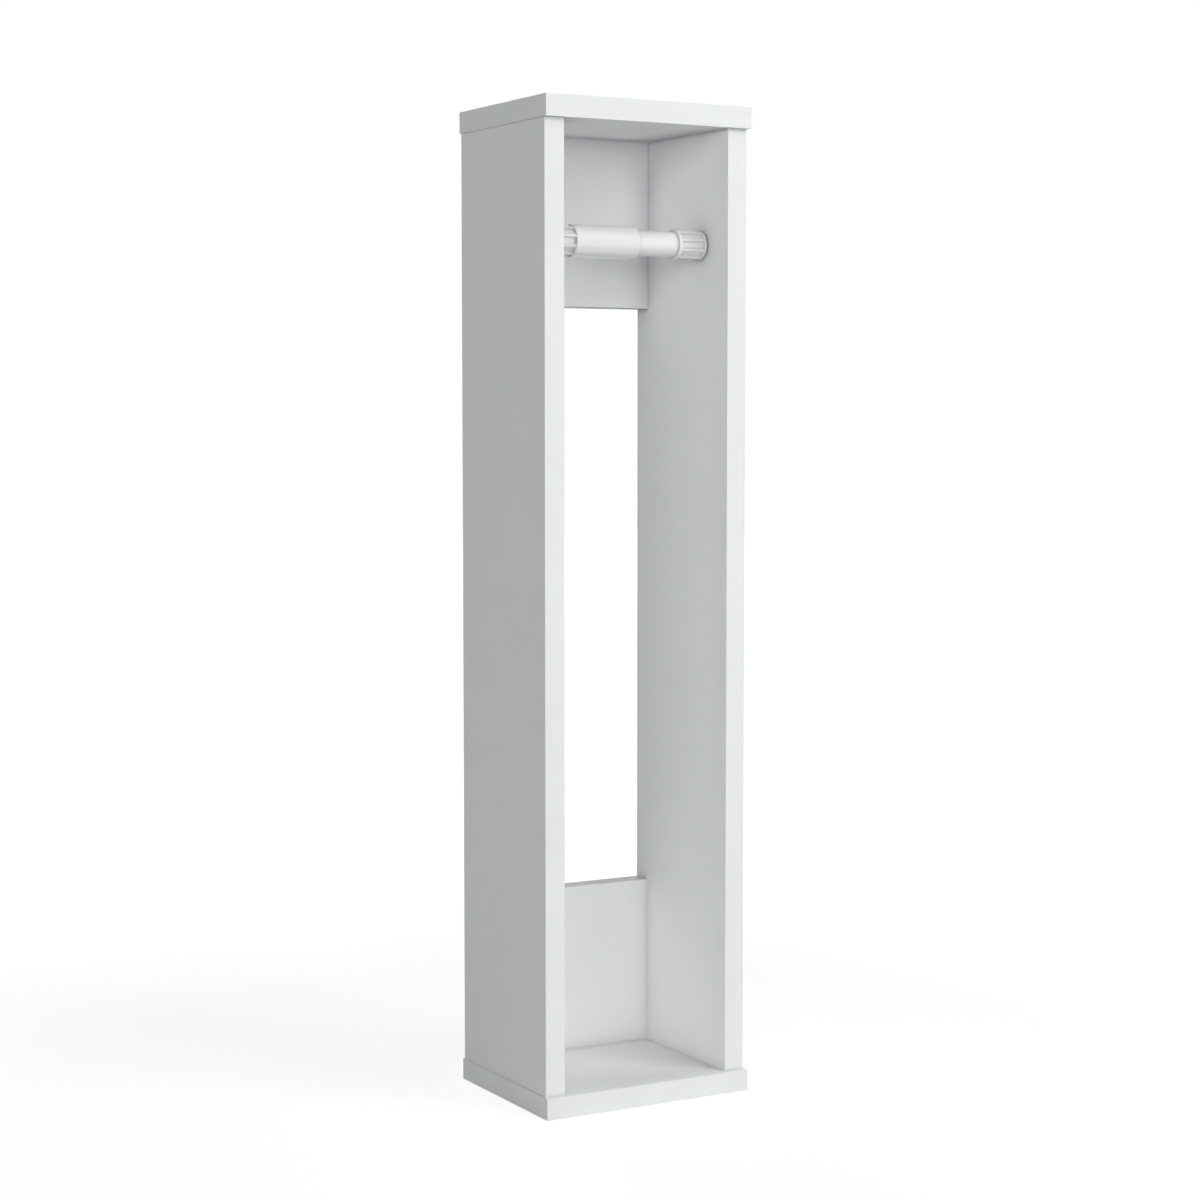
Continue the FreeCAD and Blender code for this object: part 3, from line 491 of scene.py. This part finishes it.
dress(melamine("melamine_side", BAY_PAINTED_SHADE, SIDE_JOINT_PAINTED_SHADE, "left_side_panel", X),
      "left_side_panel", "right_side_panel")
dress(melamine("melamine_rail", BAY_PAINTED_SHADE, BOARD_JOINT_PAINTED_SHADE, "upper_back_rail", Y),
      "upper_back_rail", "lower_back_rail")
dress(melamine("melamine_top", TOP_PAINTED_SHADE, BOARD_JOINT_PAINTED_SHADE, "top_panel", Z), "top_panel")
dress(melamine("melamine_base", BASE_PAINTED_SHADE, BOARD_JOINT_PAINTED_SHADE, "base_panel", Z), "base_panel")
dress(band("edge_band_upright", BAND_PAINTED_SHADE, UPRIGHT_RUN, WHITE_BAND),
      "left_side_edge_bands", "right_side_edge_bands")
dress(band("edge_band_level", BAND_PAINTED_SHADE, LEVEL_RUN, WHITE_BAND), "top_edge_bands", "lower_rail_edge_band")
# The under edge band of the upper rail is painted grey: painted shade for the shadow beneath it.
dress(band("edge_band_under_painted_shade", BAND_PAINTED_SHADE, LEVEL_RUN, UNDER_EDGE_PAINTED_SHADE), "upper_rail_edge_band")
dress(band("edge_band_base", BASE_BAND_PAINTED_SHADE, LEVEL_RUN, WHITE_BAND), "base_edge_bands")
dress(moulded("roller_white"), "roller_barrel", "roller_plunger")
dress(beech("beech_upright", BEECH_UPRIGHT), "top_dowels", "base_dowels")
dress(beech("beech_level", BEECH_LEVEL), "upper_rail_dowels", "lower_rail_dowels")
dress(metal("zinc_cast", *ZINC_CAST), "upper_rail_cams", "lower_rail_cams")
dress(metal("steel_plated", *STEEL_PLATED),
      "upper_rail_cam_bolts", "lower_rail_cam_bolts", "base_screws")
wire_finish = metal("spring_wire", *SPRING_WIRE)

# The spring takes its size from the CAD spring.
spring_low, spring_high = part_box("roller_spring")
spring_axis_y = (spring_low[Y] + spring_high[Y]) / 2
spring_axis_z = (spring_low[Z] + spring_high[Z]) / 2


def coil_line():
    """Places along the middle of the wire, each with its direction out from the coil's axis."""
    radius = (spring_high[Z] - spring_low[Z] - COIL_WIRE) / 2
    at = spring_low[X] + COIL_WIRE / 2
    end = spring_high[X] - COIL_WIRE / 2
    closed_rise = COIL_WIRE * CLOSED_PITCH
    open_rise = (end - at - 2 * CLOSED_TURNS * closed_rise) / (COIL_TURNS - 2 * CLOSED_TURNS)
    line = []
    for step in range(int(COIL_TURNS * COIL_STEPS) + 1):
        turn = step / COIL_STEPS
        angle = math.tau * turn
        outward = Vector((0.0, math.cos(angle), math.sin(angle)))
        centre = Vector((at, spring_axis_y, spring_axis_z)) + outward * radius
        line.append((centre, outward))
        is_closed = turn < CLOSED_TURNS or turn >= COIL_TURNS - CLOSED_TURNS
        at += (closed_rise if is_closed else open_rise) / COIL_STEPS
    return line


def make_spring():
    """The coil as one closed tube around its line, with its end faces capped."""
    points = []
    for centre, outward in coil_line():
        for side in range(WIRE_SIDES):
            lean = math.tau * side / WIRE_SIDES
            offset = outward * math.cos(lean) + Vector((math.sin(lean), 0.0, 0.0))
            points.append(centre + offset * (COIL_WIRE / 2))
    last_ring = len(points) - WIRE_SIDES
    faces = []
    for here in range(0, last_ring, WIRE_SIDES):
        after = here + WIRE_SIDES
        for side in range(WIRE_SIDES):
            beside = (side + 1) % WIRE_SIDES
            faces.append((here + side, here + beside, after + beside, after + side))
    faces.append(tuple(reversed(range(WIRE_SIDES))))
    faces.append(tuple(range(last_ring, len(points))))
    mesh = bpy.data.meshes.new("spring_coil")
    mesh.from_pydata(points, [], faces)
    mesh.validate()
    mesh.shade_smooth()
    mesh.materials.append(wire_finish)
    return add_object("spring_coil", mesh)


spring = make_spring()
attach(spring, "barrel")
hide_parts("roller_spring")
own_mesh(spring)


def seen_share(tree):
    """1 for rays that show the surroundings: from the camera, off gloss or through glass."""
    path = add_node(tree, "ShaderNodeLightPath").outputs
    direct = maths(tree, "ADD", path["Is Camera Ray"], path["Is Glossy Ray"], clamp=True)
    return maths(tree, "ADD", direct, path["Is Transmission Ray"], clamp=True)


def make_floor():
    """A pale floor that shows white and keeps the stand's soft shadow."""
    signs = ((-1, -1), (1, -1), (1, 1), (-1, 1))
    corners = [(x * FLOOR_HALF, y * FLOOR_HALF, -FLOOR_DROP) for x, y in signs]
    mesh = bpy.data.meshes.new("floor")
    mesh.from_pydata(corners, [], [(0, 1, 2, 3)])
    floor = add_object("floor", mesh)
    finish = bpy.data.materials.new("floor_pale")
    tree = bare_tree(finish)
    matt = add_node(tree, "ShaderNodeBsdfDiffuse", {"Color": FLOOR_SHADE}).outputs[0]
    shaded = add_node(tree, "ShaderNodeBsdfDiffuse", {"Color": SHADOW_SHADE}).outputs[0]
    place = add_node(tree, "ShaderNodeTexCoord").outputs["Object"]
    away = add_node(tree, "ShaderNodeVectorMath", {0: place}, operation="LENGTH").outputs["Value"]
    level = spread(tree, away, GLOW_REACH, GLOW_LEVELS)
    glow = add_node(tree, "ShaderNodeEmission", {"Strength": level}).outputs[0]
    shown = add_node(tree, "ShaderNodeAddShader", {0: shaded, 1: glow}).outputs[0]
    inputs = {0: seen_share(tree), 1: matt, 2: shown}
    surface = add_node(tree, "ShaderNodeMixShader", inputs).outputs[0]
    add_node(tree, "ShaderNodeOutputMaterial", {"Surface": surface})
    mesh.materials.append(finish)


def make_backdrop():
    """A white surround, seen by the camera and in gloss, that lights nothing."""
    world = bpy.data.worlds.new("backdrop")
    bpy.context.scene.world = world
    tree = bare_tree(world)
    inputs = {"Color": BACKDROP_WHITE, "Strength": seen_share(tree)}
    surface = add_node(tree, "ShaderNodeBackground", inputs).outputs[0]
    add_node(tree, "ShaderNodeOutputWorld", {"Surface": surface})


def add_box(name, azimuth, distance, level, aim, width, height, watts):
    """A soft box that faces the stand's axis."""
    data = bpy.data.lights.new(name, "AREA")
    data.shape = "RECTANGLE"
    data.size = width
    data.size_y = height
    data.energy = watts
    turn = math.radians(azimuth)
    box = add_object(name, data)
    box.location = (math.sin(turn) * distance, -math.cos(turn) * distance, level)
    box.rotation_euler = (Vector((0.0, 0.0, aim)) - box.location).to_track_quat("-Z", "Y").to_euler()
    box.visible_camera = False
    return box


def keep_to_stand(box):
    """Keeps a box's light to the stand and off the floor."""
    lit = bpy.data.collections.new(f"{box.name}_lit")
    for node in nodes.values():
        lit.objects.link(node)
    box.light_linking.receiver_collection = lit


def make_camera():
    """The camera of the photograph."""
    azimuth = math.radians(CAMERA_AZIMUTH)
    elevation = math.radians(CAMERA_ELEVATION)
    level = math.cos(elevation)
    back = Vector((math.sin(azimuth) * level, -math.cos(azimuth) * level, math.sin(elevation)))
    data = bpy.data.cameras.new("camera")
    data.sensor_width = SENSOR_WIDTH
    data.lens = FOCAL_PIXELS / FRAME_WIDTH * SENSOR_WIDTH
    camera = add_object("camera", data)
    camera.location = Vector(CAMERA_TARGET) + back * CAMERA_DISTANCE
    camera.rotation_euler = (-back).to_track_quat("-Z", "Y").to_euler()
    bpy.context.scene.camera = camera


make_floor()
make_backdrop()
for number, box in enumerate(FAR_BOXES):
    add_box(f"far_box_{number}", *box).visible_glossy = False
top_box = add_box("top_box", *TOP_BOX)
top_box.visible_glossy = False
keep_to_stand(top_box)
add_box("strip_box", *STRIP_BOX, STRIP_WATTS)
add_box("strip_gloss", *STRIP_BOX, STRIP_GLOSS_WATTS).visible_diffuse = False
make_camera()
bpy.context.scene.view_settings.view_transform = "Standard"
